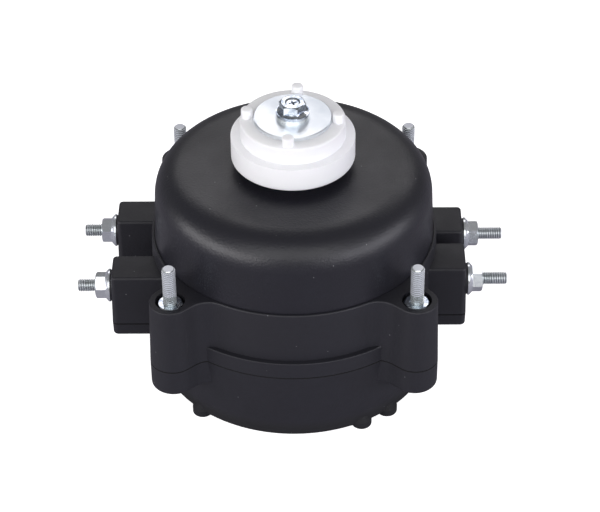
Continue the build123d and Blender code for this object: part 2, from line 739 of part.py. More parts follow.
# Stator screws: three M3 screws that clamp shelf, core and front shell together
with BuildPart() as stator_screws:
    with BuildSketch(Plane.XY.offset(shelf_z)):
        draw_circles(ear_reach, ear_count, m3_r, ear_turn)
    extrude(amount=stator_screw_length)
    with BuildSketch(Plane.XY.offset(shelf_z)):
        draw_circles(ear_reach, ear_count, m3_head_r, ear_turn)
    extrude(amount=-m3_head_height)
finish(stator_screws, "stator_screws")

# Phase pins: wires of the coils' ends, from the lower insulator down through the board
with BuildPart() as phase_pins:
    with BuildSketch(Plane.XY.offset(board_z - pin_tail)):
        draw_circles(pin_reach, pin_count, pin_r, pin_turn)
    extrude(amount=shelf_top_z - end_plate - end_wall_rise - board_z + pin_tail)
finish(phase_pins, "phase_pins")

# Control board: a round glass-fibre board on the base cover's four posts
with BuildPart() as control_board:
    with BuildSketch(Plane.XY.offset(board_z)):
        Circle(board_r)
        draw_holes(board_post_reach, lug_count, m3_hole_r)
        draw_holes(pin_reach, pin_count, pin_hole_r, pin_turn)
    extrude(amount=board_thickness)
finish(control_board, "control_board")

# Board screws: M3 pan-head screws into the posts
with BuildPart() as board_screws:
    with BuildSketch(Plane.XY.offset(board_top_z)):
        draw_circles(board_post_reach, lug_count, m3_r)
    extrude(amount=-board_screw_length)
    with BuildSketch(Plane.XY.offset(board_top_z)):
        draw_circles(board_post_reach, lug_count, m3_head_r)
    extrude(amount=m3_head_height)
finish(board_screws, "board_screws")

# Bulk capacitor: an upright can with a rolled bead at its foot
with BuildPart() as bulk_capacitor:
    with BuildSketch(Plane.XY.offset(board_top_z)):
        with Locations(capacitor_place):
            Circle(capacitor_r)
    extrude(amount=capacitor_height)
    fillet(bulk_capacitor.edges().group_by(Axis.Z)[-1], can_round)
finish(bulk_capacitor, "bulk_capacitor")

# Line choke: a wound ring core lying on the board
with BuildPart() as line_choke:
    with BuildSketch(Plane.XY.offset(board_top_z)):
        with Locations(choke_place):
            Circle(choke_r)
            Circle(choke_bore_r, mode=Mode.SUBTRACT)
    extrude(amount=choke_height)
    fillet(line_choke.edges(), can_round)
finish(line_choke, "line_choke")

# Line fuse: a round radial fuse
with BuildPart() as line_fuse:
    with BuildSketch(Plane.XY.offset(board_top_z)):
        with Locations(fuse_place):
            Circle(fuse_r)
    extrude(amount=fuse_height)
finish(line_fuse, "line_fuse")

# Block-shaped parts of the board: varistor, rectifier, chip and terminal block
block_parts = (
    ("surge_varistor", varistor_size, varistor_place),
    ("bridge_rectifier", rectifier_size, rectifier_place),
    ("control_chip", chip_size, chip_place),
    ("lead_terminal", terminal_size, terminal_place),
)
for name, size, place in block_parts:
    with BuildPart() as block_part:
        with BuildSketch(Plane.XY.offset(board_top_z)):
            with Locations(place):
                Rectangle(size[0], size[1])
        extrude(amount=size[2])
        chamfer(block_part.edges().group_by(Axis.Z)[-1], block_part_chamfer)
    finish(block_part, name)

# Power transistors: six flat packages in two rows
with BuildPart() as power_transistors:
    with BuildSketch(Plane.XY.offset(board_top_z)):
        with Locations(transistor_place):
            with GridLocations(transistor_pitch[0], transistor_pitch[1], 3, 2):
                Rectangle(transistor_size[0], transistor_size[1])
    extrude(amount=transistor_size[2])
finish(power_transistors, "power_transistors")

# Rotor shaft: ground steel, tapped at the top for the hub's screw
with BuildPart() as rotor_shaft:
    with BuildSketch(Plane.XY.offset(shaft_bottom_z)):
        Circle(shaft_r)
    extrude(amount=shaft_top_z - shaft_bottom_z)
    chamfer(rotor_shaft.edges(), shaft_chamfer)
    with BuildSketch(Plane.XY.offset(shaft_top_z)):
        Circle(m4_r + seat_gap)
    extrude(amount=-tapped_depth, mode=Mode.SUBTRACT)
finish(rotor_shaft, "rotor_shaft")

# Rotor iron: a steel cup that turns round the bearing, pressed on the shaft's lower end
with BuildPart() as rotor_iron:
    with BuildSketch(Plane.XZ):
        draw_profile((shaft_r + seat_gap, shaft_bottom_z), (rotor_boss_r, shaft_bottom_z),
                     (rotor_boss_r, web_z), (rotor_iron_r, web_z), (rotor_iron_r, rotor_top_z),
                     (rotor_bore_r, rotor_top_z), (rotor_bore_r, web_z + rotor_web),
                     (rotor_boss_r, web_z + rotor_web), (rotor_boss_r, rotor_boss_z),
                     (shaft_r + seat_gap, rotor_boss_z))
    revolve(axis=Axis.Z)
    with BuildSketch(Plane.XY.offset(web_z)):
        draw_circles(rotor_hole_reach, rotor_hole_count, rotor_hole_r)
    extrude(amount=rotor_web, mode=Mode.SUBTRACT)
finish(rotor_iron, "rotor_iron")

# Rotor magnets: ferrite segments bonded round the iron
with BuildPart() as rotor_magnets:
    with BuildSketch(Plane.XY.offset(shelf_top_z)):
        Circle(rotor_r)
        Circle(rotor_iron_r + seat_gap, mode=Mode.SUBTRACT)
        with PolarLocations(rotor_iron_r + magnet_wall / 2, magnet_count):
            Rectangle(2 * magnet_wall, magnet_spacing, mode=Mode.SUBTRACT)
    extrude(amount=stack_height)
finish(rotor_magnets, "rotor_magnets")

# Thrust washer: between the rotor's boss and the sleeve
with BuildPart() as thrust_washer:
    with BuildSketch(Plane.XY.offset(rotor_boss_z)):
        Circle(thrust_r)
        Circle(shaft_r + turn_gap, mode=Mode.SUBTRACT)
    extrude(amount=thrust_height)
finish(thrust_washer, "thrust_washer")

# Oil slinger: a thin disc on the shaft, between the bearing's nose and the hub
with BuildPart() as oil_slinger:
    with BuildSketch(Plane.XY.offset(hub_z)):
        Circle(slinger_r)
        Circle(shaft_r + seat_gap, mode=Mode.SUBTRACT)
    extrude(amount=-slinger_height)
finish(oil_slinger, "oil_slinger")

# Fan hub: a ribbed white moulding with a flange, a pilot ring and four driving pegs
with BuildPart() as fan_hub:
    with BuildSketch(Plane.XZ) as hub_section:
        draw_profile((0, hub_z), (hub_r, hub_z), (hub_r, hub_z + hub_flange_height),
                     (hub_ring_r, hub_z + hub_flange_height), (hub_ring_r, ring_top_z), (0, ring_top_z))
        flange_corners = hub_section.vertices().group_by(Axis.X)[-1].sort_by(Axis.Y)
        fillet(flange_corners[0], hub_foot_round)
        fillet(flange_corners[-1], hub_edge_round)
        fillet(hub_section.vertices().group_by(Axis.Y)[-1].sort_by(Axis.X)[-1], hub_ring_round)
    revolve(axis=Axis.Z)
    with BuildSketch(Plane.XZ):
        draw_hub_hollow(hub_boss_r, hub_r - hub_skirt, hub_ring_r - hub_skirt)
    revolve(axis=Axis.Z, mode=Mode.SUBTRACT)
    for number in range(rib_count):
        with BuildSketch(Plane.XZ.rotated((0, 0, hub_turn + number * 360 / rib_count))):
            draw_hub_hollow(hub_boss_r - rib_wall, hub_r - rib_wall, hub_ring_r - rib_wall)
        extrude(amount=rib_wall / 2, both=True)
    with BuildSketch(Plane.XY.offset(ring_top_z)):
        draw_circles(peg_reach, peg_count, peg_r, hub_turn)
    extrude(amount=peg_height)
    fillet(fan_hub.edges().group_by(Axis.Z)[-1], peg_round)
    with BuildSketch(Plane.XY.offset(hub_z)):
        Circle(shaft_r + seat_gap)
    extrude(amount=shaft_top_z - hub_z, mode=Mode.SUBTRACT)
    with BuildSketch(Plane.XY.offset(shaft_top_z)):
        Circle(m4_hole_r)
    extrude(amount=ring_top_z - shaft_top_z, mode=Mode.SUBTRACT)
finish(fan_hub, "fan_hub")

# Clamp washer: a wide zinc-plated washer that holds the fan's blade on the pilot ring
with BuildPart() as clamp_washer:
    with BuildSketch(Plane.XY.offset(ring_top_z)):
        Circle(clamp_washer_r)
        Circle(m4_hole_r, mode=Mode.SUBTRACT)
    extrude(amount=clamp_washer_height)
    chamfer(clamp_washer.edges().group_by(Axis.Z)[-1].sort_by(SortBy.RADIUS)[-1], washer_chamfer)
finish(clamp_washer, "clamp_washer")

# Lock washer: a split spring washer under the screw's flange
with BuildPart() as lock_washer:
    with BuildSketch(Plane.XY.offset(clamp_top_z)):
        Circle(lock_washer_r)
        Circle(m4_hole_r, mode=Mode.SUBTRACT)
        with Locations((-lock_washer_r, 0)):
            Rectangle(2 * lock_washer_r, lock_washer_slit, mode=Mode.SUBTRACT)
    extrude(amount=lock_washer_height)
finish(lock_washer, "lock_washer")

# Hub screw: an M4 hexagon flange screw with a cross recess
with BuildPart() as hub_screw:
    with BuildSketch(Plane.XY.offset(head_z)):
        Circle(m4_r)
    extrude(amount=-hub_screw_length)
    chamfer(hub_screw.edges().group_by(Axis.Z)[0], thread_chamfer)
    with BuildSketch(Plane.XY.offset(head_z)):
        Circle(hub_screw_flange_r)
    extrude(amount=hub_screw_flange_height)
    chamfer(hub_screw.edges().group_by(Axis.Z)[-1], washer_chamfer)
    with BuildSketch(Plane.XY.offset(head_z)):
        RegularPolygon(m4_hex / 2, 6, major_radius=False, rotation=hub_screw_turn)
    extrude(amount=hub_screw_flange_height + hub_screw_head)
    chamfer(hub_screw.edges().group_by(Axis.Z)[-1], hex_chamfer)
    with BuildSketch(Plane.XY.offset(head_z + hub_screw_flange_height + hub_screw_head)):
        Rectangle(recess_length, recess_width, rotation=hub_screw_turn)
        Rectangle(recess_width, recess_length, rotation=hub_screw_turn)
    extrude(amount=-recess_depth, mode=Mode.SUBTRACT)
finish(hub_screw, "hub_screw")
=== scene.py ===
from math import pi, radians, sqrt

import bpy
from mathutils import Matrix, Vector


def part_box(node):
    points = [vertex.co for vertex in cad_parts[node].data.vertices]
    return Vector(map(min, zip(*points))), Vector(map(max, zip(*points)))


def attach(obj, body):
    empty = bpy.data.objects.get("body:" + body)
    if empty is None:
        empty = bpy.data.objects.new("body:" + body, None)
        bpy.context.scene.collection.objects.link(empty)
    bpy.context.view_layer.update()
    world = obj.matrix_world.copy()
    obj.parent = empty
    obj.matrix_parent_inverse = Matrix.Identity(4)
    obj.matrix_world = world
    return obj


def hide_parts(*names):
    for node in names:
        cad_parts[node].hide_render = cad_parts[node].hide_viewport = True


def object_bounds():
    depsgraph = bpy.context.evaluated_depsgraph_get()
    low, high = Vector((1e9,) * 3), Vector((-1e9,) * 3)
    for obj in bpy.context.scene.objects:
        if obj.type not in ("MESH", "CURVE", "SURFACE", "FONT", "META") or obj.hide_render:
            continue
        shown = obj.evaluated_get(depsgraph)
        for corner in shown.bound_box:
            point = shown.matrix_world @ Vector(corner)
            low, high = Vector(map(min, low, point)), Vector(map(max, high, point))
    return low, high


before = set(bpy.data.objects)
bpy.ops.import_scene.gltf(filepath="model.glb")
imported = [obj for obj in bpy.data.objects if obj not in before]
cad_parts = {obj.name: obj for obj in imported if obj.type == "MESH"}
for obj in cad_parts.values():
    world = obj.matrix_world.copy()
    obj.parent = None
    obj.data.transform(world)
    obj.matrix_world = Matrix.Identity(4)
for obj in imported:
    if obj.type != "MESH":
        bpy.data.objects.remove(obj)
cad_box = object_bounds()
bpy.ops.object.select_all(action="DESELECT")

# The studio floor: white paper. It looks white to the camera and throws two fifths of that back on the
# motor, so that the black case keeps its depth.
bpy.ops.mesh.primitive_plane_add(size=6.0, location=(0.0, 0.0, cad_box[0][2]))
paper = bpy.context.object
paper.name = "studio_paper"
paper_white = bpy.data.materials.new("studio_paper")
paper_white.use_nodes = True
paper_shader = paper_white.node_tree.nodes["Principled BSDF"]
paper_shader.inputs["Roughness"].default_value = 0.9
paper_shader.inputs["Emission Color"].default_value = (1.0, 1.0, 1.0, 1.0)
paper_view = paper_white.node_tree.nodes.new("ShaderNodeLightPath")
paper_color = paper_white.node_tree.nodes.new("ShaderNodeMix")
paper_color.data_type = "RGBA"
paper_color.inputs["A"].default_value = (0.36, 0.35, 0.40, 1.0)
paper_color.inputs["B"].default_value = (0.92, 0.92, 0.93, 1.0)
paper_glow = paper_white.node_tree.nodes.new("ShaderNodeMath")
paper_glow.operation = "MULTIPLY"
paper_glow.inputs[1].default_value = 0.8
paper_wire = paper_white.node_tree.links.new
paper_wire(paper_view.outputs["Is Camera Ray"], paper_color.inputs["Factor"])
paper_wire(paper_color.outputs["Result"], paper_shader.inputs["Base Color"])
paper_wire(paper_view.outputs["Is Camera Ray"], paper_glow.inputs[0])
paper_wire(paper_glow.outputs["Value"], paper_shader.inputs["Emission Strength"])
paper.data.materials.append(paper_white)

# The surround: white to the camera, and a weak even light on the motor.
surround = bpy.data.worlds.new("studio_surround")
bpy.context.scene.world = surround
surround.use_nodes = True
backdrop = surround.node_tree.nodes["Background"]
backdrop.inputs["Color"].default_value = (1.0, 1.0, 1.0, 1.0)
surround_view = surround.node_tree.nodes.new("ShaderNodeLightPath")
surround_light = surround.node_tree.nodes.new("ShaderNodeMapRange")
surround_light.inputs["To Min"].default_value = 0.20
surround_light.inputs["To Max"].default_value = 1.0
surround.node_tree.links.new(surround_view.outputs["Is Camera Ray"], surround_light.inputs["Value"])
surround.node_tree.links.new(surround_light.outputs["Result"], backdrop.inputs["Strength"])
bpy.context.scene.view_settings.view_transform = "Standard"

# Lights: a wide one behind, whose reflection lies on the crown, one at each front corner, and a large
# one in front and above. All look at the middle of the case.
case_middle = Vector((0.0, 0.0, 0.05))
for name, place, width, height, watts, tint in (
    ("softbox_back", (0.12, 1.15, 1.00), 1.9, 0.45, 5.0, (1.0, 0.98, 1.0)),
    ("softbox_left", (-1.08, -0.62, 0.30), 1.70, 0.50, 11.6, (1.0, 0.98, 1.0)),
    ("softbox_right", (1.08, -0.62, 0.30), 1.70, 0.50, 10.8, (0.94, 0.93, 1.0)),
    ("softbox_front", (0.0, -1.40, 1.20), 2.60, 1.30, 17.0, (1.0, 1.0, 1.0)),
):
    bpy.ops.object.light_add(type="AREA", location=place)
    softbox = bpy.context.object
    softbox.name = name
    softbox.data.shape = "RECTANGLE"
    softbox.data.size = width
    softbox.data.size_y = height
    softbox.data.energy = watts
    softbox.data.color = tint
    softbox.rotation_euler = (case_middle - Vector(place)).to_track_quat("-Z", "Y").to_euler()

# The camera: a long lens from the front and above, a little off the middle.
bpy.ops.object.camera_add(
    location=(0.00579, -0.51416, 0.43917),
    rotation=(radians(51.894), radians(0.419), radians(0.122)),
)
bpy.context.scene.camera = bpy.context.object
bpy.context.object.data.lens = 127.46
bpy.context.object.data.clip_start = 0.05

# Case mouldings: the base cover, middle housing and front shell are black glass-filled plastic, moulded
# with a fine spark-eroded grain. Handling has rubbed them in clouds, and specks of dust lie on them. The
# base cover has painted shade towards its feet and along the split line: there its colour is darkened
# and it turns rougher.


def open_skin(name, *inputs):
    """Start a shader group that puts out a colour, a roughness and a normal."""
    skin = bpy.data.node_groups.new(name, "ShaderNodeTree")
    for socket, kind, value in inputs:
        skin.interface.new_socket(socket, in_out="INPUT", socket_type=kind).default_value = value
    for socket, kind in (
        ("Color", "NodeSocketColor"), ("Roughness", "NodeSocketFloat"), ("Normal", "NodeSocketVector"),
    ):
        skin.interface.new_socket(socket, in_out="OUTPUT", socket_type=kind)
    return skin


moulded_skin = open_skin(
    "moulded_skin",
    ("Dark", "NodeSocketColor", (0.0090, 0.0088, 0.0135, 1.0)),
    ("Light", "NodeSocketColor", (0.0122, 0.0122, 0.0175, 1.0)),
    ("Matt", "NodeSocketFloat", 0.60),
    ("Rubbed", "NodeSocketFloat", 0.50),
    ("Grain", "NodeSocketFloat", 0.35),
    ("Grain Scale", "NodeSocketFloat", 1500.0),
    ("Cloud Scale", "NodeSocketFloat", 55.0),
    ("Dust", "NodeSocketFloat", 1.0),
)
node = moulded_skin.nodes.new
wire = moulded_skin.links.new
skin_in = node("NodeGroupInput")
skin_out = node("NodeGroupOutput")
place = node("ShaderNodeTexCoord")
clouds = node("ShaderNodeTexNoise")
clouds.inputs["Detail"].default_value = 4.0
clouds.inputs["Roughness"].default_value = 0.6
wire(place.outputs["Object"], clouds.inputs["Vector"])
wire(skin_in.outputs["Cloud Scale"], clouds.inputs["Scale"])
cloud_edge = node("ShaderNodeMapRange")
cloud_edge.inputs["From Min"].default_value = 0.36
cloud_edge.inputs["From Max"].default_value = 0.66
wire(clouds.outputs["Fac"], cloud_edge.inputs["Value"])
color = node("ShaderNodeMix")
color.data_type = "RGBA"
wire(cloud_edge.outputs["Result"], color.inputs["Factor"])
wire(skin_in.outputs["Dark"], color.inputs["A"])
wire(skin_in.outputs["Light"], color.inputs["B"])
specks = node("ShaderNodeTexVoronoi")
specks.inputs["Scale"].default_value = 210.0
wire(place.outputs["Object"], specks.inputs["Vector"])
speck_edge = node("ShaderNodeMapRange")
speck_edge.inputs["From Min"].default_value = 0.045
speck_edge.inputs["From Max"].default_value = 0.020
wire(specks.outputs["Distance"], speck_edge.inputs["Value"])
speck_share = node("ShaderNodeMath")
speck_share.operation = "MULTIPLY"
wire(speck_edge.outputs["Result"], speck_share.inputs[0])
wire(skin_in.outputs["Dust"], speck_share.inputs[1])
dusty = node("ShaderNodeMix")
dusty.data_type = "RGBA"
dusty.inputs["B"].default_value = (0.16, 0.16, 0.17, 1.0)
wire(speck_share.outputs["Value"], dusty.inputs["Factor"])
wire(color.outputs["Result"], dusty.inputs["A"])
wire(dusty.outputs["Result"], skin_out.inputs["Color"])
gloss = node("ShaderNodeMix")
wire(cloud_edge.outputs["Result"], gloss.inputs["Factor"])
wire(skin_in.outputs["Matt"], gloss.inputs["A"])
wire(skin_in.outputs["Rubbed"], gloss.inputs["B"])
wire(gloss.outputs["Result"], skin_out.inputs["Roughness"])
grain = node("ShaderNodeTexNoise")
grain.inputs["Detail"].default_value = 2.0
wire(place.outputs["Object"], grain.inputs["Vector"])
wire(skin_in.outputs["Grain Scale"], grain.inputs["Scale"])
grain_bump = node("ShaderNodeBump")
grain_bump.inputs["Distance"].default_value = 0.0001
wire(skin_in.outputs["Grain"], grain_bump.inputs["Strength"])
wire(grain.outputs["Fac"], grain_bump.inputs["Height"])
wire(grain_bump.outputs["Normal"], skin_out.inputs["Normal"])


def make_finish(name, group, metallic=0.0, **values):
    """Make a material whose shader takes its colour, roughness and normal from a shader group."""
    material = bpy.data.materials.new(name)
    material.use_nodes = True
    placed = material.node_tree.nodes.new("ShaderNodeGroup")
    placed.node_tree = group
    for socket, value in values.items():
        placed.inputs[socket].default_value = value
    shader = material.node_tree.nodes["Principled BSDF"]
    shader.inputs["Metallic"].default_value = metallic
    for output, socket in (("Color", "Base Color"), ("Roughness", "Roughness"), ("Normal", "Normal")):
        material.node_tree.links.new(placed.outputs[output], shader.inputs[socket])
    return material


def dress(material, *names):
    """Give CAD nodes a material."""
    for name in names:
        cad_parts[name].data.materials.clear()
        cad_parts[name].data.materials.append(material)


black_moulding = make_finish("black_moulding", moulded_skin)
dress(black_moulding, "middle_housing")
black_base = make_finish("black_base", moulded_skin)
base_tree = black_base.node_tree
node = base_tree.nodes.new
wire = base_tree.links.new
place = node("ShaderNodeTexCoord")
height = node("ShaderNodeSeparateXYZ")
wire(place.outputs["Object"], height.inputs["Vector"])
# Painted shade towards the feet: below these heights the base cover's colour darkens and turns rough, damping
# the light the feet catch.
foot_low, foot_high, foot_shade_share = 0.0035, 0.0075, 0.55
# Painted shade along the split line: a thin band at the base cover's top edge is darkened and roughened,
# standing in for the shadow in the gap.
split_low, split_high = 0.02540, 0.02552
foot_shade_mask = node("ShaderNodeMapRange")
foot_shade_mask.interpolation_type = "SMOOTHSTEP"
split_shade_mask = node("ShaderNodeMapRange")
for mask, ends in (
    (foot_shade_mask, (foot_low, foot_high, foot_shade_share, 0.0)),
    (split_shade_mask, (split_low, split_high, 0.0, 1.0)),
):
    for socket, value in zip(("From Min", "From Max", "To Min", "To Max"), ends):
        mask.inputs[socket].default_value = value
    wire(height.outputs["Z"], mask.inputs["Value"])
shade_and_matt = node("ShaderNodeMath")
shade_and_matt.operation = "MAXIMUM"
wire(foot_shade_mask.outputs["Result"], shade_and_matt.inputs[0])
wire(split_shade_mask.outputs["Result"], shade_and_matt.inputs[1])
# Both painted-shade masks darken the base colour and raise the roughness.
for output, kind, target, shade_and_matt_value in (
    ("Color", "RGBA", "Base Color", (0.001, 0.001, 0.0015, 1.0)),
    ("Roughness", "FLOAT", "Roughness", 1.0),
):
    blend = node("ShaderNodeMix")
    blend.data_type = kind
    blend.inputs["B"].default_value = shade_and_matt_value
    wire(shade_and_matt.outputs["Value"], blend.inputs["Factor"])
    wire(base_tree.nodes["Group"].outputs[output], blend.inputs["A"])
    wire(blend.outputs["Result"], base_tree.nodes["Principled BSDF"].inputs[target])
dress(black_base, "base_cover")
black_crown = make_finish("black_crown", moulded_skin, Matt=0.42, Rubbed=0.34, Grain=0.7)
dress(black_crown, "front_shell")

# Face studs: four M4 cheese-head screws of bright zinc-plated steel, put in from below through the
# lugs. Their rolled threads stand free above the lugs, with a chamfered tip.
bright_zinc = make_finish(
    "bright_zinc", moulded_skin, metallic=0.80, Dark=(0.76, 0.82, 0.83, 1.0), Light=(0.92, 0.95, 0.96, 1.0),
    Matt=0.28, Rubbed=0.16, Grain=0.12, Dust=0.0,
)
thread_r = 0.0020
thread_root_r = 0.00166
thread_pitch = 0.0007
thread_chamfer = 0.0005
thread_run_in = 0.0003
shank_r = 0.0018
overlap = 0.0002
hair = 0.00001


def apply_modifier(piece, modifier):
    """Apply one modifier to a piece, with nothing else selected."""
    bpy.ops.object.select_all(action="DESELECT")
    piece.select_set(True)
    bpy.context.view_layer.objects.active = piece
    bpy.ops.object.modifier_apply(modifier=modifier.name)


def combine(piece, tool, operation):
    """Join, cut or trim a piece with another solid, which is used up."""
    change = piece.modifiers.new(operation.lower(), "BOOLEAN")
    change.operation = operation
    change.solver = "EXACT"
    change.object = tool
    apply_modifier(piece, change)
    bpy.data.objects.remove(tool)


def pick(piece, kind, test):
    """Open a piece in edit mode with only the vertices or faces selected that pass a test."""
    bpy.ops.object.select_all(action="DESELECT")
    piece.select_set(True)
    bpy.context.view_layer.objects.active = piece
    bpy.ops.object.mode_set(mode="EDIT")
    bpy.ops.mesh.select_mode(type=kind)
    bpy.ops.mesh.select_all(action="DESELECT")
    bpy.ops.object.mode_set(mode="OBJECT")
    for part in piece.data.vertices if kind == "VERT" else piece.data.polygons:
        part.select = test(part)
    bpy.ops.object.mode_set(mode="EDIT")


def looks_up(face):
    """Tell whether a face is an upper end of a bar along +Z."""
    return face.normal.z > 0.9


def make_rod(radius, low, high, sides=48):
    """Make a plain round bar along +Z."""
    bpy.ops.mesh.primitive_cylinder_add(
        vertices=sides, radius=radius, depth=high - low, location=(0.0, 0.0, (low + high) / 2)
    )
    bpy.ops.object.transform_apply(location=True)
    return bpy.context.object


def make_thread(low, high):
    """Make a rolled M4 thread along +Z, chamfered at its upper end."""
    root_share, crest_share, root_sink = 0.94, 0.16, 0.0003
    ridge_depth = thread_r - thread_root_r + root_sink
    middle = thread_r - ridge_depth / 2
    bpy.ops.mesh.primitive_plane_add(
        size=ridge_depth, location=(middle, 0.0, low - thread_pitch), rotation=(pi / 2, 0.0, 0.0)
    )
    ridge = bpy.context.object
    bpy.ops.object.transform_apply(location=True, rotation=True)
    pick(ridge, "VERT", lambda corner: corner.co.x < middle)
    bpy.ops.transform.resize(value=(1.0, 1.0, root_share * thread_pitch / ridge_depth))
    bpy.ops.object.mode_set(mode="OBJECT")
    pick(ridge, "VERT", lambda corner: corner.co.x > middle)
    bpy.ops.transform.resize(value=(1.0, 1.0, crest_share))
    bpy.ops.mesh.select_all(action="SELECT")
    bpy.ops.mesh.delete(type="ONLY_FACE")
    bpy.ops.object.mode_set(mode="OBJECT")
    turns = ridge.modifiers.new("turns", "SCREW")
    turns.angle = 2 * pi
    turns.screw_offset = thread_pitch
    turns.iterations = int((high - low) / thread_pitch) + 2
    turns.steps = turns.render_steps = 24
    turns.use_smooth_shade = False
    apply_modifier(ridge, turns)
    pick(ridge, "VERT", lambda corner: True)
    bpy.ops.mesh.remove_doubles(threshold=0.000001)
    bpy.ops.mesh.fill_holes(sides=8)
    bpy.ops.mesh.normals_make_consistent(inside=False)
    bpy.ops.object.mode_set(mode="OBJECT")
    combine(ridge, make_rod(thread_root_r, low - 2 * thread_pitch, high + 2 * thread_pitch), "UNION")
    envelope = make_rod(thread_r + hair, low, high)
    pick(envelope, "FACE", looks_up)
    bpy.ops.mesh.bevel(offset=thread_chamfer, offset_type="OFFSET", affect="EDGES", segments=1)
    bpy.ops.object.mode_set(mode="OBJECT")
    combine(ridge, envelope, "INTERSECT")
    return ridge


cut_zinc = make_finish(
    "cut_zinc", moulded_skin, metallic=0.6, Dark=(0.66, 0.68, 0.74, 1.0), Light=(0.80, 0.82, 0.87, 1.0),
    Matt=0.60, Rubbed=0.50, Grain=0.12, Dust=0.0,
)
# Painted shade: the threads' grooves get this dark zinc so that they read as shaded lines between the bright
# crests.
groove_shade_zinc = make_finish(
    "groove_shade_zinc", moulded_skin, metallic=1.0, Dark=(0.20, 0.22, 0.23, 1.0), Light=(0.32, 0.34, 0.36, 1.0),
    Matt=0.45, Rubbed=0.35, Grain=0.12, Dust=0.0,
)


def finish_thread(piece, low):
    """Weld a piece and give it bright zinc, with painted shade darkening its grooves above a height, and
    duller zinc on its cut end.
    """
    groove_r = thread_root_r + 0.0001
    end_low = low + 0.003
    pick(piece, "VERT", lambda corner: True)
    bpy.ops.mesh.remove_doubles(threshold=0.0000002)
    bpy.ops.object.mode_set(mode="OBJECT")

    def in_groove(face):
        return face.center.z > low and face.center.xy.length < groove_r and abs(face.normal.z) < 0.5

    def on_end(face):
        return face.center.z > end_low and looks_up(face)

    piece.data.materials.clear()
    for zinc in (bright_zinc, groove_shade_zinc, cut_zinc):
        piece.data.materials.append(zinc)
    for number, test in enumerate((lambda face: True, in_groove, on_end)):
        pick(piece, "FACE", test)
        piece.active_material_index = number
        bpy.ops.object.material_slot_assign()
        bpy.ops.object.mode_set(mode="OBJECT")


def settle(piece, name, place, spin, body, node_name):
    """Copy a piece to its place, hang it on the body it rides on, and hide the CAD node it stands for."""
    bpy.ops.object.select_all(action="DESELECT")
    copy = piece.copy()
    copy.data = piece.data.copy()
    copy.name = name
    bpy.context.collection.objects.link(copy)
    copy.select_set(True)
    bpy.context.view_layer.objects.active = copy
    copy.rotation_mode = "ZYX"
    copy.rotation_euler = spin
    copy.location = place
    bpy.ops.object.transform_apply(location=True, rotation=True)
    bpy.ops.object.shade_smooth_by_angle(angle=radians(28.0))
    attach(copy, body)
    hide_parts(node_name)


stud_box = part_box("face_studs")
stud_head_r = 0.0035
stud_head_height = 0.0026
stud_head_edge = 0.0003
driver_slot = 0.0012
stud_reach = stud_box[1][0] - stud_head_r
stud_seat_z = stud_box[0][2] + stud_head_height
nut_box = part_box("lug_nuts")
stud = make_thread(nut_box[1][2] - thread_run_in, stud_box[1][2])
combine(stud, make_rod(shank_r, stud_seat_z - overlap, nut_box[1][2]), "UNION")
stud_head = make_rod(stud_head_r, stud_box[0][2], stud_seat_z)
pick(stud_head, "FACE", lambda face: face.normal.z < -0.9)
bpy.ops.mesh.bevel(offset=stud_head_edge, affect="EDGES", segments=2)
bpy.ops.object.mode_set(mode="OBJECT")
bpy.ops.mesh.primitive_cube_add(size=driver_slot, location=(0.0, 0.0, stud_box[0][2]))
slot_cutter = bpy.context.object
slot_cutter.scale = (8.0, 1.0, 2.2)
bpy.ops.object.transform_apply(scale=True, location=True)
combine(stud_head, slot_cutter, "DIFFERENCE")
combine(stud, stud_head, "UNION")
finish_thread(stud, nut_box[1][2])
stud_turn = radians(73.0)
corners = ((1, 1), (-1, 1), (-1, -1), (1, -1))
for number, (along, across) in enumerate(corners):
    settle(
        stud, f"face_stud_{number + 1}", (along * stud_reach, across * stud_reach, 0.0),
        (0.0, 0.0, number * stud_turn), "motor_body", "face_studs",
    )
bpy.data.objects.remove(stud)

# Lug nuts: four M4 hexagon nuts of bright zinc-plated steel, pressed into the lugs' pockets. Both
# faces are chamfered round, and the thread's mouth is countersunk.
across_flats = 0.0070
corner_r = across_flats / sqrt(3)
chamfer_share = 0.96
chamfer_slope = 0.55
mouth_depth = 0.0009


def make_hexagon(low, high, chamfer_low):
    """Make a hexagon bar along +Z with its upper end, or both, chamfered round."""
    bar = make_rod(corner_r, low, high, sides=6)
    middle = (low + high) / 2
    lip = corner_r + overlap
    chamfer = lip - across_flats / 2 * chamfer_share
    collar = make_rod(lip, low, high, sides=96)
    pick(collar, "FACE", lambda face: looks_up(face) or (chamfer_low and face.normal.z < -0.9))
    bpy.ops.mesh.inset(thickness=chamfer, use_individual=True)
    bpy.ops.object.mode_set(mode="OBJECT")
    for end in (1, -1) if chamfer_low else (1,):
        pick(collar, "VERT", lambda spot: spot.co.xy.length > lip - hair and end * (spot.co.z - middle) > 0)
        bpy.ops.transform.translate(value=(0.0, 0.0, -end * chamfer * chamfer_slope))
        bpy.ops.object.mode_set(mode="OBJECT")
    combine(bar, collar, "INTERSECT")
    return bar


def bore_nut(nut, low, high):
    """Cut a nut's hole with a countersunk mouth at its upper face."""
    clearance, beyond = 0.00003, 0.001
    combine(nut, make_rod(shank_r + clearance, low - beyond, high + beyond), "DIFFERENCE")
    bpy.ops.mesh.primitive_cone_add(
        vertices=48, radius1=shank_r, radius2=shank_r + mouth_depth, depth=mouth_depth,
        location=(0.0, 0.0, high + 0.0001),
    )
    mouth = bpy.context.object
    bpy.ops.object.transform_apply(location=True)
    combine(nut, mouth, "DIFFERENCE")


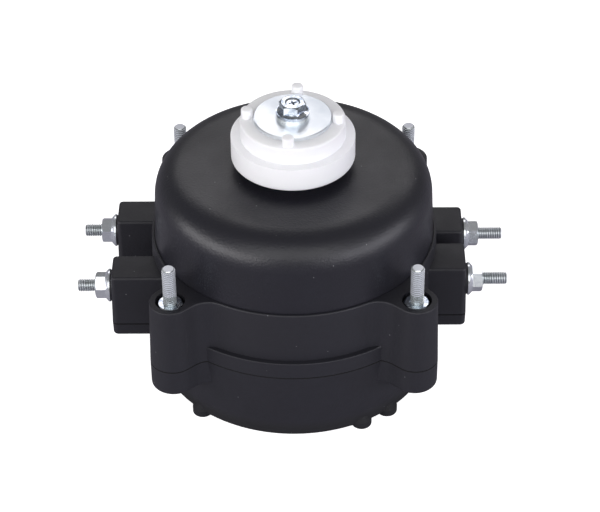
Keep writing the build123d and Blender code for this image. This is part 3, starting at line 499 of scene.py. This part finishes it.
nut = make_hexagon(nut_box[0][2], nut_box[1][2], True)
bore_nut(nut, nut_box[0][2], nut_box[1][2])
plated_zinc = make_finish(
    "plated_zinc", moulded_skin, metallic=1.0, Dark=(0.30, 0.35, 0.44, 1.0), Light=(0.86, 0.90, 0.94, 1.0),
    Matt=0.22, Rubbed=0.12, Grain=0.30, Dust=0.0,
)
plated_zinc.node_tree.nodes["Group"].inputs["Cloud Scale"].default_value = 420.0
nut.data.materials.clear()
nut.data.materials.append(plated_zinc)
for number, ((along, across), turn) in enumerate(zip(corners, (8.0, 21.0, 40.0, 15.0))):
    settle(
        nut, f"lug_nut_{number + 1}", (along * stud_reach, across * stud_reach, 0.0),
        (0.0, 0.0, radians(45.0 + 90.0 * number + turn)), "motor_body", "lug_nuts",
    )
bpy.data.objects.remove(nut)

# Side screws: four M4 hexagon screws of bright zinc-plated steel, put in from inside the drum, one
# through each side block. Only their threads show, beyond the flange nuts.
screw_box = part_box("side_screws")
side_nut_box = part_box("side_nuts")
side_z = (screw_box[0][2] + screw_box[1][2]) / 2
side_screw_length = 0.0250
screw_head_height = 0.0028
left_y = 0.0137
right_y = 0.0112
for side_name, side, tip, nut_face, screw_y in (
    ("left", -1, -screw_box[0][0], -side_nut_box[0][0], left_y),
    ("right", 1, screw_box[1][0], side_nut_box[1][0], right_y),
):
    seat = tip - side_screw_length
    screw = make_thread(nut_face - thread_run_in, tip)
    combine(screw, make_rod(shank_r, seat - overlap, nut_face), "UNION")
    combine(screw, make_rod(corner_r, seat - screw_head_height, seat, sides=6), "UNION")
    finish_thread(screw, nut_face)
    for end_name, end in (("front", -1), ("back", 1)):
        settle(
            screw, f"side_screw_{side_name}_{end_name}", (0.0, end * screw_y, side_z),
            (0.0, side * pi / 2, radians(40.0 * end)), "motor_body", "side_screws",
        )
    bpy.data.objects.remove(screw)

# Side nuts: four M4 flange nuts of bright zinc-plated steel, run up against the blocks' pads. Each is
# a hexagon with a round, sloping flange.
flange_nut_height = 0.0045
flange_r = 0.0050
flange_rim = 0.0009
flange_slope = 0.0008
flange_top_share = 0.8
flange_squash = 0.55
flange_nut = make_hexagon(0.0, flange_nut_height, False)
flange = make_rod(flange_r, 0.0, flange_rim + flange_slope, sides=96)
pick(flange, "FACE", looks_up)
bpy.ops.transform.resize(value=(flange_top_share, flange_top_share, 1.0))
bpy.ops.object.mode_set(mode="OBJECT")
pick(flange, "VERT", lambda spot: spot.co.z < flange_rim / 2)
bpy.ops.mesh.extrude_region_move(TRANSFORM_OT_translate={"value": (0.0, 0.0, -flange_rim)})
bpy.ops.object.mode_set(mode="OBJECT")
pick(flange, "VERT", lambda spot: True)
bpy.ops.transform.translate(value=(0.0, 0.0, flange_rim))
bpy.ops.transform.resize(value=(1.0, 1.0, flange_squash), center_override=(0.0, 0.0, 0.0))
bpy.ops.object.mode_set(mode="OBJECT")
combine(flange_nut, flange, "UNION")
bore_nut(flange_nut, 0.0, flange_nut_height)
hazy_zinc = make_finish(
    "hazy_zinc", moulded_skin, metallic=0.88, Dark=(0.74, 0.78, 0.83, 1.0), Light=(0.92, 0.94, 0.97, 1.0),
    Matt=0.26, Rubbed=0.16, Grain=0.12, Dust=0.0,
)
flange_nut.data.materials.clear()
flange_nut.data.materials.append(hazy_zinc)
for side_name, side, nut_face, screw_y, turns in (
    ("left", -1, -side_nut_box[0][0], left_y, (17.0, 30.0)),
    ("right", 1, side_nut_box[1][0], right_y, (2.0, 12.0)),
):
    for end_name, end, turn in (("front", -1, turns[0]), ("back", 1, turns[1])):
        settle(
            flange_nut, f"side_nut_{side_name}_{end_name}",
            (side * (nut_face - flange_nut_height), end * screw_y, side_z),
            (0.0, side * pi / 2, radians(turn)), "motor_body", "side_nuts",
        )
bpy.data.objects.remove(flange_nut)

# Fan hub: one white acetal moulding with a flange, a pilot ring and four driving pegs, satin all
# over, pressed on the shaft.
white_acetal = make_finish(
    "white_acetal", moulded_skin, Dark=(0.91, 0.91, 0.95, 1.0), Light=(0.94, 0.94, 0.97, 1.0),
    Matt=0.50, Rubbed=0.38, Grain=0.08, Dust=0.0,
)
acetal_shader = white_acetal.node_tree.nodes["Principled BSDF"]
acetal_shader.inputs["Subsurface Weight"].default_value = 0.6
acetal_shader.inputs["Subsurface Radius"].default_value = (1.0, 0.95, 1.0)
acetal_shader.inputs["Subsurface Scale"].default_value = 0.004
dress(white_acetal, "fan_hub")

# Hub washers: the wide clamp washer and the split lock washer, zinc-plated steel with a bluish
# passivated finish.
washer_zinc = make_finish(
    "washer_zinc", moulded_skin, metallic=1.0, Dark=(0.74, 0.79, 0.85, 1.0), Light=(0.88, 0.91, 0.94, 1.0),
    Matt=0.42, Rubbed=0.30, Grain=0.15, Dust=0.0,
)
dress(washer_zinc, "clamp_washer")
dress(bright_zinc, "lock_washer")

# Hub screw: an M4 flange screw of bright zinc-plated steel, turned into the shaft's end. Its hexagon
# head is upset with a sunk top and a cross recess.
hub_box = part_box("hub_screw")
hub_flange_r = 0.00495
hub_flange_height = 0.0008
hub_flange_edge = 0.0003
hub_flange_slope = 0.0005
hub_head_height = 0.0031
hub_top_z = hub_box[1][2]
hub_flange_z = hub_top_z - hub_head_height - hub_flange_height
sunk_r = 0.0018
sunk_depth = 0.0004
recess_width = 0.0008
recess_taper = 0.45
hub_screw = make_hexagon(hub_flange_z + overlap, hub_top_z, False)
hub_flange = make_rod(hub_flange_r, hub_flange_z, hub_flange_z + hub_flange_height, sides=96)
pick(hub_flange, "FACE", looks_up)
bpy.ops.mesh.inset(thickness=hub_flange_edge, use_individual=True)
bpy.ops.mesh.extrude_region_move(TRANSFORM_OT_translate={"value": (0.0, 0.0, hub_flange_slope)})
bpy.ops.transform.resize(value=(flange_top_share, flange_top_share, 1.0), center_override=(0.0, 0.0, 0.0))
bpy.ops.object.mode_set(mode="OBJECT")
combine(hub_screw, hub_flange, "UNION")
bpy.ops.mesh.primitive_cone_add(
    vertices=48, radius1=sunk_r, radius2=1.5 * sunk_r, depth=2 * sunk_depth, location=(0.0, 0.0, hub_top_z)
)
sunk_top = bpy.context.object
bpy.ops.object.transform_apply(location=True)
combine(hub_screw, sunk_top, "DIFFERENCE")
for turn in (0.0, pi / 2):
    bpy.ops.mesh.primitive_cube_add(
        size=recess_width, location=(0.0, 0.0, hub_top_z - sunk_depth), rotation=(0.0, 0.0, turn)
    )
    recess = bpy.context.object
    recess.scale = (4.2, 1.0, 3.0)
    bpy.ops.object.transform_apply(location=True, rotation=True, scale=True)
    pick(recess, "VERT", lambda corner: corner.co.z < hub_top_z - sunk_depth)
    bpy.ops.transform.resize(value=(recess_taper, recess_taper, 1.0), center_override=(0.0, 0.0, 0.0))
    bpy.ops.object.mode_set(mode="OBJECT")
    combine(hub_screw, recess, "DIFFERENCE")
combine(hub_screw, make_rod(thread_r, hub_box[0][2], hub_flange_z + 0.0001), "UNION")
hub_screw.data.materials.clear()
hub_screw.data.materials.append(plated_zinc)
settle(
    hub_screw, "hub_flange_screw", (0.0, 0.0, 0.0),
    (0.0, 0.0, radians(20.0)), "rotor", "hub_screw",
)
bpy.data.objects.remove(hub_screw)

# Stator: varnished steel laminations between two cream end insulators, with six coils of enamelled
# copper wire, held by three zinc-plated screws. Three tinned pins lead down to the board. What is
# stacked or wound shows fine even lines.
banded_skin = open_skin(
    "banded_skin",
    ("Dark", "NodeSocketColor", (0.10, 0.10, 0.11, 1.0)),
    ("Light", "NodeSocketColor", (0.30, 0.31, 0.33, 1.0)),
    ("Roughness", "NodeSocketFloat", 0.5),
    ("Bands", "NodeSocketFloat", 600.0),
)
node = banded_skin.nodes.new
wire = banded_skin.links.new
skin_in = node("NodeGroupInput")
skin_out = node("NodeGroupOutput")
place = node("ShaderNodeTexCoord")
bands = node("ShaderNodeTexWave")
bands.bands_direction = "Z"
bands.inputs["Distortion"].default_value = 0.4
wire(place.outputs["Object"], bands.inputs["Vector"])
wire(skin_in.outputs["Bands"], bands.inputs["Scale"])
color = node("ShaderNodeMix")
color.data_type = "RGBA"
wire(bands.outputs["Fac"], color.inputs["Factor"])
wire(skin_in.outputs["Dark"], color.inputs["A"])
wire(skin_in.outputs["Light"], color.inputs["B"])
wire(color.outputs["Result"], skin_out.inputs["Color"])
uneven = node("ShaderNodeTexNoise")
uneven.inputs["Scale"].default_value = 300.0
wire(place.outputs["Object"], uneven.inputs["Vector"])
gloss = node("ShaderNodeMath")
gloss.operation = "MULTIPLY_ADD"
gloss.inputs[1].default_value = 0.2
wire(uneven.outputs["Fac"], gloss.inputs[0])
wire(skin_in.outputs["Roughness"], gloss.inputs[2])
wire(gloss.outputs["Value"], skin_out.inputs["Roughness"])
band_bump = node("ShaderNodeBump")
band_bump.inputs["Strength"].default_value = 0.5
band_bump.inputs["Distance"].default_value = 0.0001
wire(bands.outputs["Fac"], band_bump.inputs["Height"])
wire(band_bump.outputs["Normal"], skin_out.inputs["Normal"])
laminations = make_finish("laminations", banded_skin, metallic=1.0, Bands=630.0)
dress(laminations, "stator_core", "rotor_iron")
enamelled_wire = make_finish(
    "enamelled_wire", banded_skin, metallic=1.0, Dark=(0.30, 0.10, 0.04, 1.0), Light=(0.62, 0.27, 0.12, 1.0),
    Roughness=0.25, Bands=420.0,
)
dress(enamelled_wire, "stator_coils", "line_choke")
cream_moulding = make_finish(
    "cream_moulding", moulded_skin, Dark=(0.66, 0.62, 0.52, 1.0), Light=(0.74, 0.71, 0.62, 1.0), Dust=0.0,
)
dress(cream_moulding, "upper_insulator", "lower_insulator", "lead_terminal")
dress(bright_zinc, "stator_screws", "board_screws")
tinned_wire = make_finish(
    "tinned_wire", moulded_skin, metallic=1.0, Dark=(0.60, 0.60, 0.61, 1.0), Light=(0.72, 0.72, 0.73, 1.0),
    Matt=0.45, Rubbed=0.30, Dust=0.0,
)
dress(tinned_wire, "phase_pins")

# Bearing and shaft: a die-cast aluminium housing and cap round a sintered bronze sleeve and a felt
# wick. The shaft, its thrust washer and the oil slinger are ground steel.
cast_aluminium = make_finish(
    "cast_aluminium", moulded_skin, metallic=1.0, Dark=(0.46, 0.47, 0.48, 1.0), Light=(0.60, 0.61, 0.62, 1.0),
    Matt=0.60, Rubbed=0.45, Grain=0.5, Dust=0.0,
)
dress(cast_aluminium, "bearing_housing", "bearing_cap")
sintered_bronze = make_finish(
    "sintered_bronze", moulded_skin, metallic=1.0,
    Dark=(0.36, 0.22, 0.10, 1.0), Light=(0.52, 0.34, 0.17, 1.0),
    Matt=0.60, Rubbed=0.45, Grain=0.6, Dust=0.0,
)
dress(sintered_bronze, "bearing_sleeve")
oiled_felt = make_finish(
    "oiled_felt", moulded_skin, Dark=(0.30, 0.25, 0.17, 1.0), Light=(0.50, 0.44, 0.34, 1.0),
    Matt=0.95, Rubbed=0.85, Grain=1.0, Dust=0.0,
)
dress(oiled_felt, "oil_wick")
ground_steel = make_finish(
    "ground_steel", moulded_skin, metallic=1.0, Dark=(0.46, 0.46, 0.48, 1.0), Light=(0.58, 0.58, 0.60, 1.0),
    Matt=0.34, Rubbed=0.22, Grain=0.1, Dust=0.0,
)
dress(ground_steel, "rotor_shaft", "thrust_washer", "oil_slinger")

# Seals: the ring in the split line, the lead grommet and the shaft seal are matt black rubber, moulded
# to shape and pressed into their seats.
black_rubber = make_finish(
    "black_rubber", moulded_skin, Dark=(0.010, 0.010, 0.011, 1.0), Light=(0.020, 0.020, 0.021, 1.0),
    Matt=0.85, Rubbed=0.65, Grain=0.5,
)
dress(black_rubber, "seam_seal", "lead_grommet", "shaft_seal")

# Rotor magnets: eight segments of dark grey sintered ferrite, ground on the outside and glued round
# the rotor's iron.
grey_ferrite = make_finish(
    "grey_ferrite", moulded_skin, metallic=0.3, Dark=(0.05, 0.05, 0.055, 1.0), Light=(0.10, 0.10, 0.11, 1.0),
    Matt=0.60, Rubbed=0.45, Grain=0.4, Dust=0.0,
)
dress(grey_ferrite, "rotor_magnets")

# Control board: green varnished glass fibre with dark moulded parts, a blue varistor, a brown fuse and a
# capacitor in a dark sleeve, all soldered to it.
board_varnish = make_finish(
    "board_varnish", moulded_skin, Dark=(0.015, 0.11, 0.045, 1.0), Light=(0.035, 0.19, 0.080, 1.0),
    Matt=0.45, Rubbed=0.30, Dust=0.0,
)
dress(board_varnish, "control_board")
dark_moulding = make_finish(
    "dark_moulding", moulded_skin, Dark=(0.020, 0.020, 0.022, 1.0), Light=(0.045, 0.045, 0.048, 1.0),
    Matt=0.70, Rubbed=0.55, Dust=0.0,
)
dress(dark_moulding, "bridge_rectifier", "control_chip", "power_transistors")
blue_lacquer = make_finish(
    "blue_lacquer", moulded_skin, Dark=(0.02, 0.06, 0.24, 1.0), Light=(0.03, 0.09, 0.33, 1.0),
    Matt=0.40, Rubbed=0.28, Dust=0.0,
)
dress(blue_lacquer, "surge_varistor")
brown_moulding = make_finish(
    "brown_moulding", moulded_skin, Dark=(0.09, 0.04, 0.02, 1.0), Light=(0.14, 0.06, 0.03, 1.0),
    Matt=0.50, Rubbed=0.38, Dust=0.0,
)
dress(brown_moulding, "line_fuse")
can_sleeve = make_finish(
    "can_sleeve", moulded_skin, Dark=(0.02, 0.02, 0.035, 1.0), Light=(0.04, 0.04, 0.06, 1.0),
    Matt=0.35, Rubbed=0.25, Dust=0.0,
)
dress(can_sleeve, "bulk_capacitor")
